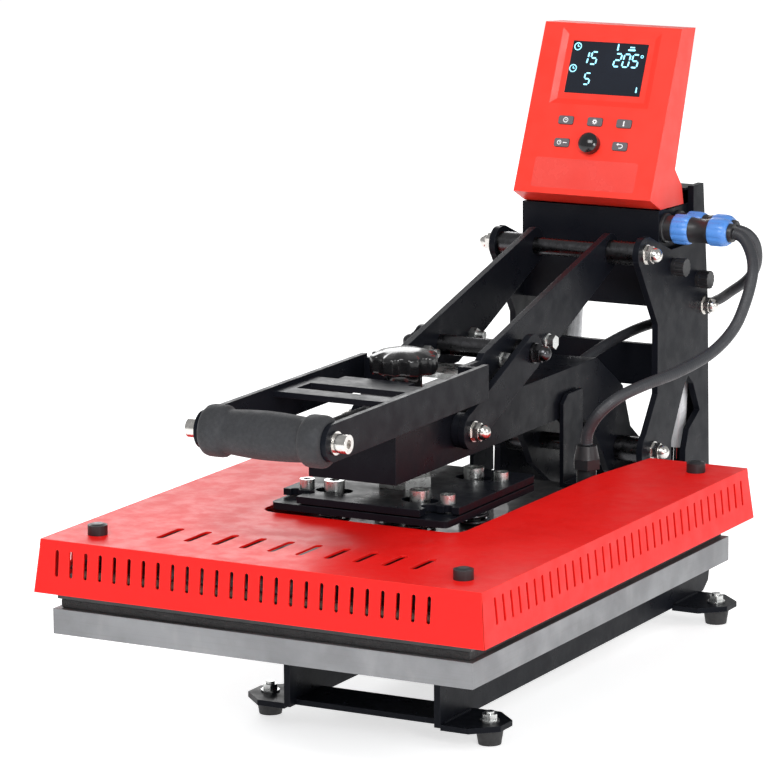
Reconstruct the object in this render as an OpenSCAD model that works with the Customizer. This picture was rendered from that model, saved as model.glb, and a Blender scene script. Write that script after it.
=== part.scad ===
// Clamshell heat press, 40 x 50 cm, closed.
// X is across the machine, Y runs from the grip to the column, Z is up from the bench.
// Depths are given from the front edge of the lower platen and shifted by machine_mid.

/* [Lower platen] */
// Width of the lower platen
platen_w = 400; // [396:1:404]
// Depth of the lower platen
platen_d = 500; // [496:1:504]
// Thickness of the lower platen
platen_t = 22; // [18:0.5:24]
// Height of the rails' top edge above the bench
rail_top = 109; // [109:0.5:109]
// Thickness of the silicone foam pad
pad_t = 8; // [6:0.5:8]

/* [Heat platen] */
// Thickness of the heater block
heater_t = 17; // [14:0.5:17]
// Width of the red cover at its lower rim
cover_w = 429; // [427:1:431]
// Depth of the red cover at its lower rim
cover_d = 530; // [528:1:532]
// Height of the red cover's lower rim
cover_z0 = 145; // [144.5:0.5:146]
// Height of the red cover's top face
cover_z1 = 191; // [190.5:0.5:192]
// How far each skirt leans out towards the lower rim
skirt_lean = 4.8; // [4:0.1:5.5]
// Pitch of the cooling slots in the skirts
slot_pitch = 14.2; // [14:0.1:14.4]
// Width of one cooling slot
slot_w = 3.8; // [3:0.1:5]
// Height of one cooling slot
slot_h = 23; // [18:0.5:25]

/* [Frame] */
// Distance from the middle plane to the outer face of a side plate
side_x = 77; // [77:0.5:77]
// Thickness of the side plates
side_t = 6; // [5:0.5:6]
// Height of the upper shaft above the bench
upper_shaft_z = 366; // [366:1:366]
// Height of the lower shaft above the bench
lower_shaft_z = 178; // [178:1:178]
// Radius of both pivot shafts
shaft_r = 8; // [7:0.5:8]
// Height of a rubber foot
foot_h = 15; // [15:1:15]

/* [Lever] */
// Thickness of the lever arms
lever_t = 6; // [5:0.5:6]
// Distance from the middle plane to a lever arm's outer face
lever_x = 41.5; // [41.5:0.5:41.5]
// Radius of the foam grip at its middle
grip_r = 20.5; // [18:0.5:21]
// Height of the grip's axis above the bench
grip_z = 295; // [295:1:295]

/* [Control head] */
// Width of the control head
head_w = 141.4; // [139:0.2:141.4]
// Slope of the front face from vertical, in degrees
head_tilt = 24.2; // [24.2:0.1:24.2]
// Travel of a push button
key_travel = 1; // [0.5:0.1:1.2]

/* [Hidden] */
$fn = 48;
machine_mid = 367.9;
gap = 0.3;
run = 0.05;

platen_z1 = rail_top + platen_t;
pad_z1 = platen_z1 + pad_t;
heater_z0 = pad_z1 + gap;
heater_z1 = heater_z0 + heater_t;
sheet_z0 = heater_z1 + 8;
sheet_z1 = sheet_z0 + 2;
cover_t = 2;
cover_y0 = -7;
cover_y1 = cover_y0 + cover_d;
cover_h = cover_z1 - cover_z0;
skirt_slope = atan(skirt_lean / cover_h);
top_w = cover_w - 2 * skirt_lean;
top_d = cover_d - 2 * skirt_lean;
cut_x = 98;
cut_rear_x = 115;
cut_y0 = 172;
cut_flare_y = 425;
nut_x = 174.8;
nut_y0 = 33;
nut_y1 = 483.5;

upper_y = 583;
lower_y = 600;
link_top_y = 394;
link_top_z = 305;
link_low_y = 277;
link_low_z = 256;
strut_y = 711;
strut_z = 298;
tail_y = 693.7;
tail_z = 128;
strut_len = norm([tail_y - strut_y, tail_z - strut_z]);
screw_y = 257;

side_in = side_x - side_t;
arm_x = 42.4;
arm_t = 6;
arm_z0 = 229;
arm_z1 = 272;
link_in = 51;
link_t = 6;
handle_in = 57.6;
handle_t = 5;
strut_x = 57;

plate_y0 = 172;
plate_y1 = 342;
plate_hx = 86;
lower_plate_z = 194;
upper_plate_z = 201.5;
plate_t = 6;
bolt_dx = 42;
bolt_dy = 50;
small_dx = 69;

head_top_y = 674;
head_top_z = 564;
key_x = 30;
key_row1 = 95;
key_row2 = 117;
screen_v = 42;

plug_x = 70.8;
plugs = [[639, 382, 0], [668, 380.5, 10]];
holders = [[645, 345], [699, 325]];
gland_x = 87;
gland_y = 440;

// Round points along the heater cable, from the front plug down to the gland.
heater_route = [
  [141, 639, 382], [148, 638.6, 380.2], [154, 636, 375.6], [160.5, 631, 368.5],
  [166.3, 624, 360], [169.7, 616, 349], [169, 604.5, 328], [163, 591, 303], [153, 563, 284],
  [140, 520, 273], [126, 482, 267], [112, 457, 259], [99, 443, 246], [90, 440.4, 232],
  [87, 440, 223], [87, 440, 215.9]
];
// Round points along the sensor cable, from the rear plug into the arm.
sensor_route = [
  [131, 668, 380.5], [138, 669, 379], [143.3, 672.5, 374], [145.6, 677.5, 366],
  [145, 682.5, 357], [142.3, 688, 348], [137, 694.5, 339], [129.5, 701, 331],
  [118.3, 709, 322], [102.5, 719, 312], [87, 730, 302.2], [72, 738, 295], [57, 733, 288.5],
  [42, 708, 282.5], [28, 668, 278], [18, 622, 270], [10, 580, 259], [8, 545, 252]
];

// ---------- helpers ----------
module placed() { translate([0, -machine_mid, 0]) children(); }

// A plate standing in a YZ plane, from x0 to x1.
module plate_x(x0, x1) {
  translate([x0, 0, 0]) rotate([90, 0, 90]) linear_extrude(x1 - x0) children();
}

// The same plate on both sides of the middle plane.
module plate_pair(inner, outer) {
  plate_x(inner, outer) children();
  plate_x(-outer, -inner) children();
}

module rod_x(r, x0, x1, y, z) {
  translate([x0, y, z]) rotate([0, 90, 0]) cylinder(r = r, h = x1 - x0);
}

module tube_x(r, bore, x0, x1, y, z) {
  difference() {
    rod_x(r, x0, x1, y, z);
    rod_x(bore, x0 - 1, x1 + 1, y, z);
  }
}

// Washer and dome nut, seated on a face at x0 and pointing along +X.
module dome_nut(x0, y, z, af, bore) {
  hex_h = af * 0.42;
  difference() {
    union() {
      rod_x(af * 0.62, x0, x0 + 2, y, z);
      translate([x0 + 2, y, z]) rotate([0, 90, 0]) cylinder(d = af * 1.12, h = hex_h, $fn = 6);
      rod_x(af * 0.46, x0 + 2, x0 + 2 + hex_h + af * 0.1, y, z);
      translate([x0 + 2 + hex_h + af * 0.1, y, z]) intersection() {
        sphere(r = af * 0.46);
        translate([0, -af, -af]) cube([af, 2 * af, 2 * af]);
      }
    }
    rod_x(bore, x0 - 1, x0 + 2 + hex_h, y, z);
  }
}

module mirror_pair() {
  children();
  mirror([1, 0, 0]) children();
}

// A rectangle with round corners, centred, drawn with true arcs.
module round_rect(w, d, r) {
  square([w - 2 * r, d], center = true);
  square([w, d - 2 * r], center = true);
  for (sx = [-1, 1], sy = [-1, 1])
    translate([sx * (w / 2 - r), sy * (d / 2 - r)]) circle(r = r);
}

module slot_2d(w, h) {
  square([w, h - w], center = true);
  for (s = [-1, 1]) translate([0, s * (h - w) / 2]) circle(d = w, $fn = 24);
}

// Puts its children on the sloping front face: u across, v down from the top edge.
module on_panel(u, v, w = 0) {
  translate([0, head_top_y, head_top_z]) rotate([90 - head_tilt, 0, 0])
    translate([u, -v, w]) children();
}

// A round tube swept along a list of points.
function unit(v) = v / norm(v);
function spline(a, b, c, d, t) = 0.5 * ((2 * b) + (c - a) * t + (2 * a - 5 * b + 4 * c - d) * t * t
  + (3 * b - a - 3 * c + d) * t * t * t);
function smooth_route(p, steps) = concat([for (i = [0:len(p) - 2], s = [0:steps - 1])
  spline(p[max(i - 1, 0)], p[i], p[i + 1], p[min(i + 2, len(p) - 1)], s / steps)],
  [p[len(p) - 1]]);
function heading(p, i) = unit(p[min(i + 1, len(p) - 1)] - p[max(i - 1, 0)]);

module tube_along(route, r, sides) {
  p = smooth_route(route, 3);
  n = len(p);
  rings = [for (i = [0:n - 1]) let (
    t = heading(p, i),
    a = unit(cross(t, [0.3, 0.95, 0.1])),
    b = cross(t, a)
  ) for (k = [0:sides - 1]) p[i] + r * (cos(360 * k / sides) * a + sin(360 * k / sides) * b)];
  faces = concat(
    [[for (k = [0:sides - 1]) k]],
    [for (i = [0:n - 2], k = [0:sides - 1]) let (q = (k + 1) % sides)
      [i * sides + k, (i + 1) * sides + k, (i + 1) * sides + q, i * sides + q]],
    [[for (k = [sides - 1:-1:0]) (n - 1) * sides + k]]
  );
  polyhedron(points = rings, faces = faces, convexity = 8);
}

// ---------- frame ----------
module side_outline() {
  difference() {
    union() {
      polygon([
        [176, foot_h + 2], [700, foot_h + 2], [716, foot_h + 4], [727, foot_h + 12], [730, foot_h + 24],
        [722, 300], [710, 415], [688, 415], [688, 362], [639, 362], [590, 381.5],
        [568.4, 360.5], [610.5, 296], [610.5, 230], [579, 186], [577, 150], [560, rail_top], [176, rail_top]
      ]);
      translate([upper_y, upper_shaft_z]) circle(r = 15.5);
      translate([lower_y, lower_shaft_z]) circle(r = 23);
    }
    translate([upper_y, upper_shaft_z]) circle(r = shaft_r);
    translate([lower_y, lower_shaft_z]) circle(r = shaft_r);
    translate([strut_y, strut_z]) circle(r = 4);
    polygon([[641, 150], [641, 180], [668, 225], [678, 236], [690, 226], [705, 198], [681, 184], [673, 165], [673, 150]]);
  }
}

// The plate's rear edge is folded inward below the control box.
module side_plate_left() {
  color("dimgray") placed() {
    plate_x(-side_x, -side_in) side_outline();
    translate([-side_x + 1, 717.5, 70]) cube([41, 5, 162]);
  }
}

module side_plate_right() {
  color("dimgray") placed() difference() {
    union() {
      plate_x(side_in, side_x) side_outline();
      translate([side_x - 42, 717.5, 70]) cube([41, 5, 162]);
    }
    for (p = holders) rod_x(6, side_in - 1, side_x + 1, p[0], p[1]);
  }
}

module front_cross_plate() {
  color("dimgray") placed() translate([-side_in, 186, foot_h + 2]) cube([2 * side_in, 50, 5]);
}

module rear_cross_plate() {
  color("dimgray") placed() {
    translate([-side_in, 658, 226.7]) cube([2 * side_in, 6, 39.7]);
    translate([-side_in, 655, foot_h + 2]) cube([2 * side_in, 50, 5]);
  }
}

// One foot plate on the +X side: a flat lug with two cut corners.
module foot_lug(y0) {
  difference() {
    translate([side_x, y0, foot_h]) linear_extrude(5) polygon([
      [0, 0], [27, 0], [48, 20], [48, 42], [27, 62], [0, 62]
    ]);
    translate([108.7, y0 + 31, foot_h - 1]) cylinder(r = 5, h = 8);
  }
}

module foot_plates() {
  color("dimgray") placed() mirror_pair() {
    foot_lug(176);
    foot_lug(645);
  }
}

module rubber_feet() {
  color("black") placed() mirror_pair() for (y = [207, 676])
    translate([108.7, y, 0]) difference() {
      cylinder(r1 = 10, r2 = 12.5, h = foot_h);
      translate([0, 0, 7]) cylinder(r = 4, h = 20);
    }
}

module foot_bolts() {
  color("silver") placed() mirror_pair() for (y = [207, 676]) translate([108.7, y, 0]) {
    translate([0, 0, 7]) cylinder(r = 4, h = 22);
    translate([0, 0, foot_h + 5]) difference() {
      union() {
        cylinder(r = 8.5, h = 1.6);
        translate([0, 0, 1.6]) cylinder(r = 7.2, h = 5.2, $fn = 6);
      }
      translate([0, 0, -1]) cylinder(r = 4, h = 10);
    }
  }
}

module lower_platen() {
  color("silver") placed() translate([-platen_w / 2, 0, rail_top]) cube([platen_w, platen_d, platen_t]);
}

module foam_pad() {
  color([0.12, 0.12, 0.12]) placed()
    translate([-platen_w / 2 + 5, 5, platen_z1]) cube([platen_w - 10, platen_d - 10, pad_t]);
}

module control_box() {
  color([0.25, 0.25, 0.27]) placed() difference() {
    translate([-side_in + 0.2, 625, 309.5]) cube([2 * side_in - 0.4, 80.8, 90.2]);
    translate([-side_in + 2.2, 627, 311.5]) cube([2 * side_in - 4.4, 90, 100]);
    translate([-side_in - 1, 640, 398.5]) cube([2 * side_in + 2, 90, 10]);
    for (p = plugs) rod_x(9, 60, side_x, p[0], p[1]);
    for (p = holders) rod_x(6, 60, side_x, p[0], p[1]);
  }
}

module box_rear_cover() {
  color([0.25, 0.25, 0.27]) placed() difference() {
    translate([-side_in + 0.2, 682, 311.5]) cube([2 * side_in - 0.4, 26, 102]);
    translate([-side_in - 1, 680, 300]) cube([2 * side_in + 2, 26, 111.5]);
    translate([-55, 700, 330]) cube([50, 12, 28]);
    translate([14, 700, 330]) cube([22.6, 12, 28]);
    for (i = [0:9]) translate([-50 + i * 11, 700, 361]) cube([5, 12, 14]);
  }
}

module head_profile() {
  polygon([
    [head_top_y, head_top_z], [703.7, 562], [660, 434], [675, 417], [679, 399], [628.7, 400.4], [605.7, 412]
  ]);
}

// The sunk field round the screen, with sloping sides.
module screen_recess() {
  on_panel(0, screen_v, 0) intersection() {
    translate([0, 60, 0]) rotate([90, 0, 0]) linear_extrude(120)
      polygon([[-53.5, 0.9], [53.5, 0.9], [45, -2.2], [-45, -2.2]]);
    translate([-80, 0, 0]) rotate([90, 0, 90]) linear_extrude(160)
      polygon([[-39.5, 0.9], [39.5, 0.9], [31.5, -2.2], [-31.5, -2.2]]);
  }
}

module control_head() {
  color([0.9, 0.12, 0.07]) placed() difference() {
    plate_x(-head_w / 2, head_w / 2) head_profile();
    plate_x(-head_w / 2 + 2.5, head_w / 2 - 2.5) polygon([
      [674.8, 558], [710, 558], [664, 434], [674, 415], [676, 403], [630, 403], [610.2, 413]
    ]);
    screen_recess();
    on_panel(0, screen_v, -8) linear_extrude(20) square([78, 51], center = true);
    for (u = [-key_x, 0, key_x]) on_panel(u, key_row1, -8) linear_extrude(20) round_rect(15.6, 8.6, 2);
    for (u = [-key_x, key_x]) on_panel(u, key_row2, -8) linear_extrude(20) round_rect(15.6, 8.6, 2);
    on_panel(0, key_row2, -8) cylinder(r = 3.6, h = 20);
    translate([-52, 632, 396]) cube([104, 40, 9]);
  }
}

module head_rear_cover() {
  color([0.9, 0.12, 0.07]) placed() difference() {
    plate_x(-head_w / 2 + 3, head_w / 2 - 3) polygon([[700, 557.6], [702, 557.6], [661, 437.2], [659, 437.2]]);
    for (i = [0:7]) translate([-46 + i * 12, 650, 500]) cube([5, 60, 26]);
  }
}

module display() {
  color([0.03, 0.04, 0.06]) placed() on_panel(0, screen_v, -5.4) linear_extrude(3)
    square([77.4, 50.4], center = true);
}

module circuit_board() {
  color("darkgreen") placed() {
    on_panel(0, 85, -13) linear_extrude(1.6) square([120, 130], center = true);
    translate([-60, 640, 318]) cube([120, 50, 1.6]);
    translate([-50, 648, 319.6]) cube([34, 30, 30]);
    translate([8, 650, 319.6]) cube([40, 20, 24]);
  }
}

module mains_inlet() {
  color([0.05, 0.05, 0.05]) placed() difference() {
    union() {
      translate([-54.8, 692, 330.2]) cube([49.6, 16, 27.6]);
      translate([-58, 708, 327]) cube([56, 2.5, 34]);
    }
    translate([-46, 697, 334]) cube([32, 20, 20]);
  }
}

module power_switch() {
  color([0.05, 0.05, 0.05]) placed() intersection() {
    rod_x(17, 15, 35.6, 695, 344);
    translate([10, 706.5, 331]) cube([30, 8, 26]);
  }
}

// Round circuit connectors: flange, union nut, plug body and clamp nut.
module cable_plugs() {
  color([0.2, 0.42, 0.8]) placed() for (p = plugs) {
    rod_x(8.9, plug_x - 2, plug_x, p[0], p[1]);
    rod_x(14, plug_x, plug_x + 3, p[0], p[1]);
    rod_x(12, plug_x + 3, plug_x + 10, p[0], p[1]);
    rod_x(14.2, plug_x + 10, plug_x + 27, p[0], p[1]);
    rod_x(12, plug_x + 27, plug_x + 47 - p[2], p[0], p[1]);
    rod_x(13.4, plug_x + 47 - p[2], plug_x + 66 - p[2], p[0], p[1]);
    rod_x(9, plug_x + 66 - p[2], plug_x + 70.2 - p[2], p[0], p[1]);
  }
}

module fuse_holders() {
  color("black") placed() for (p = holders) {
    rod_x(6, 50, side_x, p[0], p[1]);
    rod_x(8, side_x, side_x + 2.5, p[0], p[1]);
  }
}

module fuse_caps() {
  color("black") placed() for (p = holders) difference() {
    rod_x(8.5, side_x + 2.5, side_x + 13, p[0], p[1]);
    for (a = [0:30:330]) translate([side_x + 4, p[0] + 9.2 * cos(a), p[1] + 9.2 * sin(a)])
      rotate([0, 90, 0]) cylinder(r = 1.4, h = 20, $fn = 16);
  }
}

module key_cap(u, v) {
  color([0.82, 0.82, 0.84]) placed() on_panel(u, v, -4) linear_extrude(4.2 + key_travel) round_rect(15, 8, 1.7);
}

module button_1() { key_cap(-key_x, key_row1); }
module button_2() { key_cap(0, key_row1); }
module button_3() { key_cap(key_x, key_row1); }
module button_4() { key_cap(-key_x, key_row2); }
module button_5() { key_cap(key_x, key_row2); }

module encoder_knob() {
  color([0.04, 0.04, 0.04]) placed() {
    on_panel(0, key_row2, 0.5) intersection() {
      cylinder(r = 9.6, h = 12);
      translate([0, 0, -3]) sphere(r = 14);
    }
    on_panel(0, key_row2, -8) cylinder(r = 3.2, h = 8.5);
  }
}

module pivot_shafts() {
  color([0.2, 0.2, 0.22]) placed() {
    for (p = [[upper_y, upper_shaft_z], [lower_y, lower_shaft_z]]) {
      rod_x(shaft_r, -side_x, side_x, p[0], p[1]);
      rod_x(5, -side_x - 8, side_x + 8, p[0], p[1]);
    }
  }
}

module shaft_spacers() {
  color([0.2, 0.2, 0.22]) placed() mirror_pair() {
    tube_x(11, shaft_r, lever_x + gap, side_in, upper_y, upper_shaft_z);
    tube_x(12, shaft_r, arm_x + gap, side_in, lower_y, lower_shaft_z);
  }
}

module shaft_nuts() {
  color("silver") placed() mirror_pair() {
    dome_nut(side_x, upper_y, upper_shaft_z, 15, 5);
    dome_nut(side_x, lower_y, lower_shaft_z, 15, 5);
  }
}

// Bolts through the side plates that carry the gas struts' upper eyes.
module strut_bolts() {
  color("silver") placed() mirror_pair() {
    rod_x(4, 50, side_x + 8, strut_y, strut_z);
    dome_nut(side_x, strut_y, strut_z, 14, 4);
    tube_x(6, 4, 62.4, side_in, strut_y, strut_z);
  }
}

// ---------- lever ----------
module lever_outline() {
  difference() {
    union() {
      polygon([
        [290, 283], [427, 283], [480, 304], [590.3, 350.6], [577, 382], [329, 314.5], [322, 309], [290, 309]
      ]);
      translate([upper_y, upper_shaft_z]) circle(r = 17);
    }
    translate([upper_y, upper_shaft_z]) circle(r = shaft_r + run);
    translate([link_top_y, link_top_z]) circle(r = 6);
    translate([362, 303]) circle(r = 4);
    translate([452, 304]) circle(r = 4);
  }
}

module lever_arms() {
  color("dimgray") placed() plate_pair(lever_x - lever_t, lever_x) lever_outline();
}

module lever_web() {
  color("silver") placed() translate([-lever_x + lever_t, 334, 287]) cube([2 * (lever_x - lever_t), 44, 5]);
}

module handle_outline() {
  difference() {
    union() {
      polygon([[22, 279], [296, 281], [296, 312], [22, 311]]);
      translate([22, grip_z]) circle(r = 16);
    }
    translate([22, grip_z]) circle(r = 5);
  }
}

module handle_plates() {
  color("dimgray") placed() mirror_pair() {
    plate_x(handle_in, handle_in + handle_t) handle_outline();
    translate([lever_x, 291, 283]) cube([handle_in - lever_x, 5, 26]);
  }
}

module handle_frame() {
  color("dimgray") placed() {
    difference() {
      translate([-handle_in, 130, 303]) cube([2 * handle_in, 71, 5]);
      translate([-46, 150, 300]) cube([92, 25, 10]);
    }
    translate([-34, 201, 303]) cube([68, 12, 5]);
  }
}

module grip() {
  color([0.08, 0.08, 0.08]) placed() translate([0, 22, grip_z]) rotate([0, 90, 0]) rotate_extrude()
    polygon(concat(
      [[5, -handle_in], [20, -handle_in], [22, -54], [22, -39], [20.4, -37]],
      [for (i = [0:12]) let (x = -36 + i * 6) [grip_r - 1.6 + 1.6 * cos(x * 2.4), x]],
      [[20.4, 37], [22, 39], [22, 54], [20, handle_in], [5, handle_in]]
    ));
}

module grip_bolts() {
  color("silver") placed() {
    rod_x(5, -66, 66, 22, grip_z);
    mirror_pair() {
      tube_x(10, 5, handle_in + handle_t, 64.6, 22, grip_z);
      difference() {
        rod_x(8, 64.6, 75.6, 22, grip_z);
        rod_x(5, 63, 66, 22, grip_z);
        translate([71.6, 22, grip_z]) rotate([0, 90, 0]) cylinder(r = 4, h = 6, $fn = 6);
      }
    }
  }
}

// The link pivot: tube between the lever arms, shaft through both links, outer nuts.
module cross_shaft() {
  color([0.2, 0.2, 0.22]) placed() {
    rod_x(6, -link_in - 14, link_in + 14, link_top_y, link_top_z);
    tube_x(9, 6, -lever_x + lever_t, lever_x - lever_t, link_top_y, link_top_z);
    mirror_pair() {
      tube_x(11, 6, lever_x, link_in - gap, link_top_y, link_top_z);
      dome_nut(link_in + link_t + gap, link_top_y, link_top_z, 15, 6);
    }
  }
}

module lever_bolts() {
  color("silver") placed() mirror_pair() for (p = [[362, 303], [452, 304]]) {
    rod_x(4, 22, 46, p[0], p[1]);
    tube_x(7.5, 4, lever_x, lever_x + 1.6, p[0], p[1]);
    translate([lever_x + 1.6, p[0], p[1]]) rotate([0, 90, 0]) difference() {
      cylinder(r = 6.6, h = 7, $fn = 6);
      translate([0, 0, -1]) cylinder(r = 4, h = 4);
    }
    translate([29, p[0], p[1]]) rotate([0, 90, 0]) difference() {
      cylinder(r = 6.6, h = 6.5, $fn = 6);
      translate([0, 0, -1]) cylinder(r = 4, h = 9);
    }
  }
}

// ---------- links ----------
module link_outline() {
  run_y = link_low_y - link_top_y;
  run_z = link_low_z - link_top_z;
  difference() {
    union() {
      translate([link_top_y, link_top_z]) circle(r = 16.5);
      translate([link_low_y, link_low_z]) circle(r = 16.5);
      translate([link_top_y, link_top_z]) rotate(atan2(run_z, run_y))
        translate([0, -16]) square([norm([run_y, run_z]), 32]);
    }
    translate([link_top_y, link_top_z]) circle(r = 6 + run);
    translate([link_low_y, link_low_z]) circle(r = 6);
  }
}

module link_plates() {
  color("dimgray") placed() mirror_pair() {
    plate_x(link_in, link_in + link_t) link_outline();
    tube_x(15.5, 6, arm_x + 0.6, link_in, link_low_y, link_low_z);
  }
}

// Lower link pins: they reach the arm's side but stop short of it.
module link_pins() {
  color("silver") placed() mirror_pair() {
    rod_x(6, arm_x + 0.6, link_in + 14, link_low_y, link_low_z);
    dome_nut(link_in + link_t, link_low_y, link_low_z, 15, 6);
  }
}

// ---------- swing arm ----------
module arm_outline() {
  difference() {
    union() {
      polygon([
        [163, arm_z0], [508, arm_z0], [536, 214], [552, 196], [566, 178], [578, 160], [628, 127],
        [688, 114], [702, 140], [650, 176], [625, 194], [608, 236], [552, arm_z1], [163, arm_z1]
      ]);
      translate([lower_y, lower_shaft_z]) circle(r = 24);
      translate([tail_y, tail_z]) circle(r = 16);
    }
    translate([lower_y, lower_shaft_z]) circle(r = shaft_r + run);
    translate([tail_y, tail_z]) circle(r = 6);
  }
}

module swing_arm() {
  color("dimgray") placed() difference() {
    union() {
      plate_pair(arm_x - arm_t, arm_x) arm_outline();
      translate([-arm_x + 1, 163, arm_z1 - 5]) cube([2 * arm_x - 2, 387, 5]);
      translate([-arm_x + 1, 163, arm_z0]) cube([2 * arm_x - 2, 5, arm_z1 - arm_z0]);
      translate([-arm_x + 1, 163, arm_z0]) cube([2 * arm_x - 2, 300, 5]);
      tube_x(9, 6, -arm_x + arm_t, arm_x - arm_t, tail_y, tail_z);
    }
    translate([0, screw_y, arm_z0 - 1]) cylinder(r = 8 + run, h = 7);
    translate([0, screw_y, arm_z1 - 6]) cylinder(r = 8 + run, h = 7);
  }
}

module thrust_bush() {
  color("silver") placed() translate([0, screw_y, 0]) difference() {
    union() {
      translate([0, 0, arm_z1]) cylinder(r = 15, h = 16);
      translate([-31, -22, arm_z1 + 16]) cube([62, 44, 4]);
    }
    translate([0, 0, arm_z1 - 1]) cylinder(r = 8 + run, h = 24);
  }
}

// ---------- pressure screw ----------
module star_knob() {
  color([0.04, 0.04, 0.04]) placed() translate([0, screw_y, 0]) difference() {
    union() {
      translate([0, 0, arm_z1 + 20.4]) cylinder(r = 16, h = 15);
      difference() {
        translate([0, 0, 307]) cylinder(r = 30, h = 17);
        for (a = [0:45:315]) rotate(a + 22.5) translate([33, 0, 300]) cylinder(r = 7.5, h = 40, $fn = 32);
      }
      intersection() {
        translate([0, 0, 323]) cylinder(r1 = 28, r2 = 20, h = 5.5);
        translate([0, 0, 300]) cylinder(r = 27, h = 40);
      }
    }
    translate([0, 0, 290]) cylinder(r = 8, h = 20);
  }
}

module pressure_screw() {
  color("silver") placed() translate([0, screw_y, 0]) {
    translate([0, 0, 202]) cylinder(r = 8, h = 108);
  }
}

// ---------- heat platen ----------
module adjuster_nut() {
  color([0.7, 0.72, 0.7]) placed() translate([0, screw_y, upper_plate_z + plate_t]) difference() {
    union() {
      cylinder(r = 26, h = 9, $fn = 6);
      rotate(20) translate([0, 0, 8]) cylinder(r = 22, h = 8, $fn = 6);
    }
    translate([0, 0, -1]) cylinder(r = 8 + run, h = 20);
  }
}

module plate_holes(big_slots) {
  for (sx = [-1, 1], sy = [-1, 1]) {
    translate([sx * bolt_dx, screw_y + sy * bolt_dy]) {
      if (big_slots) rotate(90) slot_2d(19.4, 34);
      else circle(r = 6);
    }
    translate([sx * small_dx, screw_y + sy * bolt_dy]) circle(r = 4);
  }
  translate([0, screw_y]) circle(r = 9.5);
}

module upper_mount_plate() {
  color("dimgray") placed() translate([0, 0, upper_plate_z]) linear_extrude(plate_t) difference() {
    translate([0, (plate_y0 + plate_y1) / 2]) round_rect(2 * plate_hx, plate_y1 - plate_y0, 6);
    plate_holes(true);
    for (s = [-1, 1]) {
      translate([s * (plate_hx - 13), plate_y0]) square([26, 46], center = true);
      translate([s * (plate_hx - 26), plate_y0 + 18]) circle(r = 7);
      translate([s * (plate_hx - 11), plate_y0 + 24]) circle(r = 4);
    }
  }
}

module lower_mount_plate() {
  color("dimgray") placed() translate([0, 0, lower_plate_z]) linear_extrude(plate_t) difference() {
    translate([0, (plate_y0 + plate_y1) / 2]) round_rect(2 * plate_hx, plate_y1 - plate_y0, 6);
    plate_holes(false);
  }
}

// Socket head screw, head seated at z, shank reaching down by len.
module socket_screw(r, head_r, head_h, z, len) {
  translate([0, 0, z - len]) cylinder(r = r, h = len);
  translate([0, 0, z]) difference() {
    cylinder(r = head_r, h = head_h);
    translate([0, 0, head_h - 5]) cylinder(r = head_r * 0.55, h = 6, $fn = 6);
  }
}

module mount_screws() {
  color("silver") placed() for (sx = [-1, 1], sy = [-1, 1]) {
    translate([sx * bolt_dx, screw_y + sy * bolt_dy, 0])
      socket_screw(6, 9, 17, lower_plate_z + plate_t, lower_plate_z + plate_t - heater_z1);
    translate([sx * small_dx, screw_y + sy * bolt_dy, 0])
      socket_screw(4, 6.5, 8, upper_plate_z + plate_t, 18);
  }
}

module mount_springs() {
  color([0.15, 0.15, 0.16]) placed() for (sx = [-1, 1], sy = [-1, 1])
    translate([sx * bolt_dx, screw_y + sy * bolt_dy, sheet_z1]) difference() {
      cylinder(r = 14, h = lower_plate_z - sheet_z1);
      translate([0, 0, -1]) cylinder(r = 6.3, h = 60);
      for (i = [0:3]) translate([0, 0, 4 + i * 6.4]) difference() {
        cylinder(r = 20, h = 2.4);
        translate([0, 0, -1]) cylinder(r = 11, h = 5);
      }
    }
}

module guide_brackets() {
  color("dimgray") placed() mirror_pair() {
    plate_x(44, 48) difference() {
      polygon([[472, sheet_z1], [512, sheet_z1], [512, 251], [482, 251], [472, 243]]);
    }
    translate([48, 472, sheet_z1]) cube([18, 40, 4]);
  }
}

module inner_sheet() {
  color([0.1, 0.1, 0.1]) placed() difference() {
    translate([-190, 10, sheet_z0]) cube([380, 480, 2]);
    for (sx = [-1, 1], sy = [-1, 1])
      translate([sx * bolt_dx, screw_y + sy * bolt_dy, sheet_z0 - 1]) cylinder(r = 6.3, h = 5);
    for (x = [-nut_x, nut_x], y = [nut_y0, nut_y1]) translate([x, y, sheet_z0 - 1]) cylinder(r = 4.2, h = 5);
    translate([gland_x, gland_y, sheet_z0 - 1]) cylinder(r = 7, h = 5);
  }
}

module insulation_mat() {
  color([0.85, 0.82, 0.7]) placed() difference() {
    translate([-188, 12, heater_z1]) cube([376, 476, 8]);
    for (sx = [-1, 1], sy = [-1, 1])
      translate([sx * bolt_dx, screw_y + sy * bolt_dy, heater_z1 - 1]) cylinder(r = 6.3, h = 12);
    for (x = [-nut_x, nut_x], y = [nut_y0, nut_y1]) translate([x, y, heater_z1 - 1]) cylinder(r = 4.2, h = 12);
  }
}

module heater_block() {
  color([0.1, 0.1, 0.11]) placed()
    translate([-platen_w / 2 + 3, 3, heater_z0]) cube([platen_w - 6, platen_d - 6, heater_t]);
}

// The cover's outer block, or with an inset the space inside it, between two heights.
module cover_block(inset, z0, z1) {
  e0 = inset + skirt_lean * (z0 - cover_z0) / cover_h;
  e1 = inset + skirt_lean * (z1 - cover_z0) / cover_h;
  intersection() {
    plate_x(-300, 300) polygon([
      [cover_y0 + e0, z0], [cover_y1 - e0, z0], [cover_y1 - e1, z1], [cover_y0 + e1, z1]
    ]);
    translate([0, 700, 0]) rotate([90, 0, 0]) linear_extrude(900) polygon([
      [-cover_w / 2 + e0, z0], [cover_w / 2 - e0, z0], [cover_w / 2 - e1, z1], [-cover_w / 2 + e1, z1]
    ]);
  }
}

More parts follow.
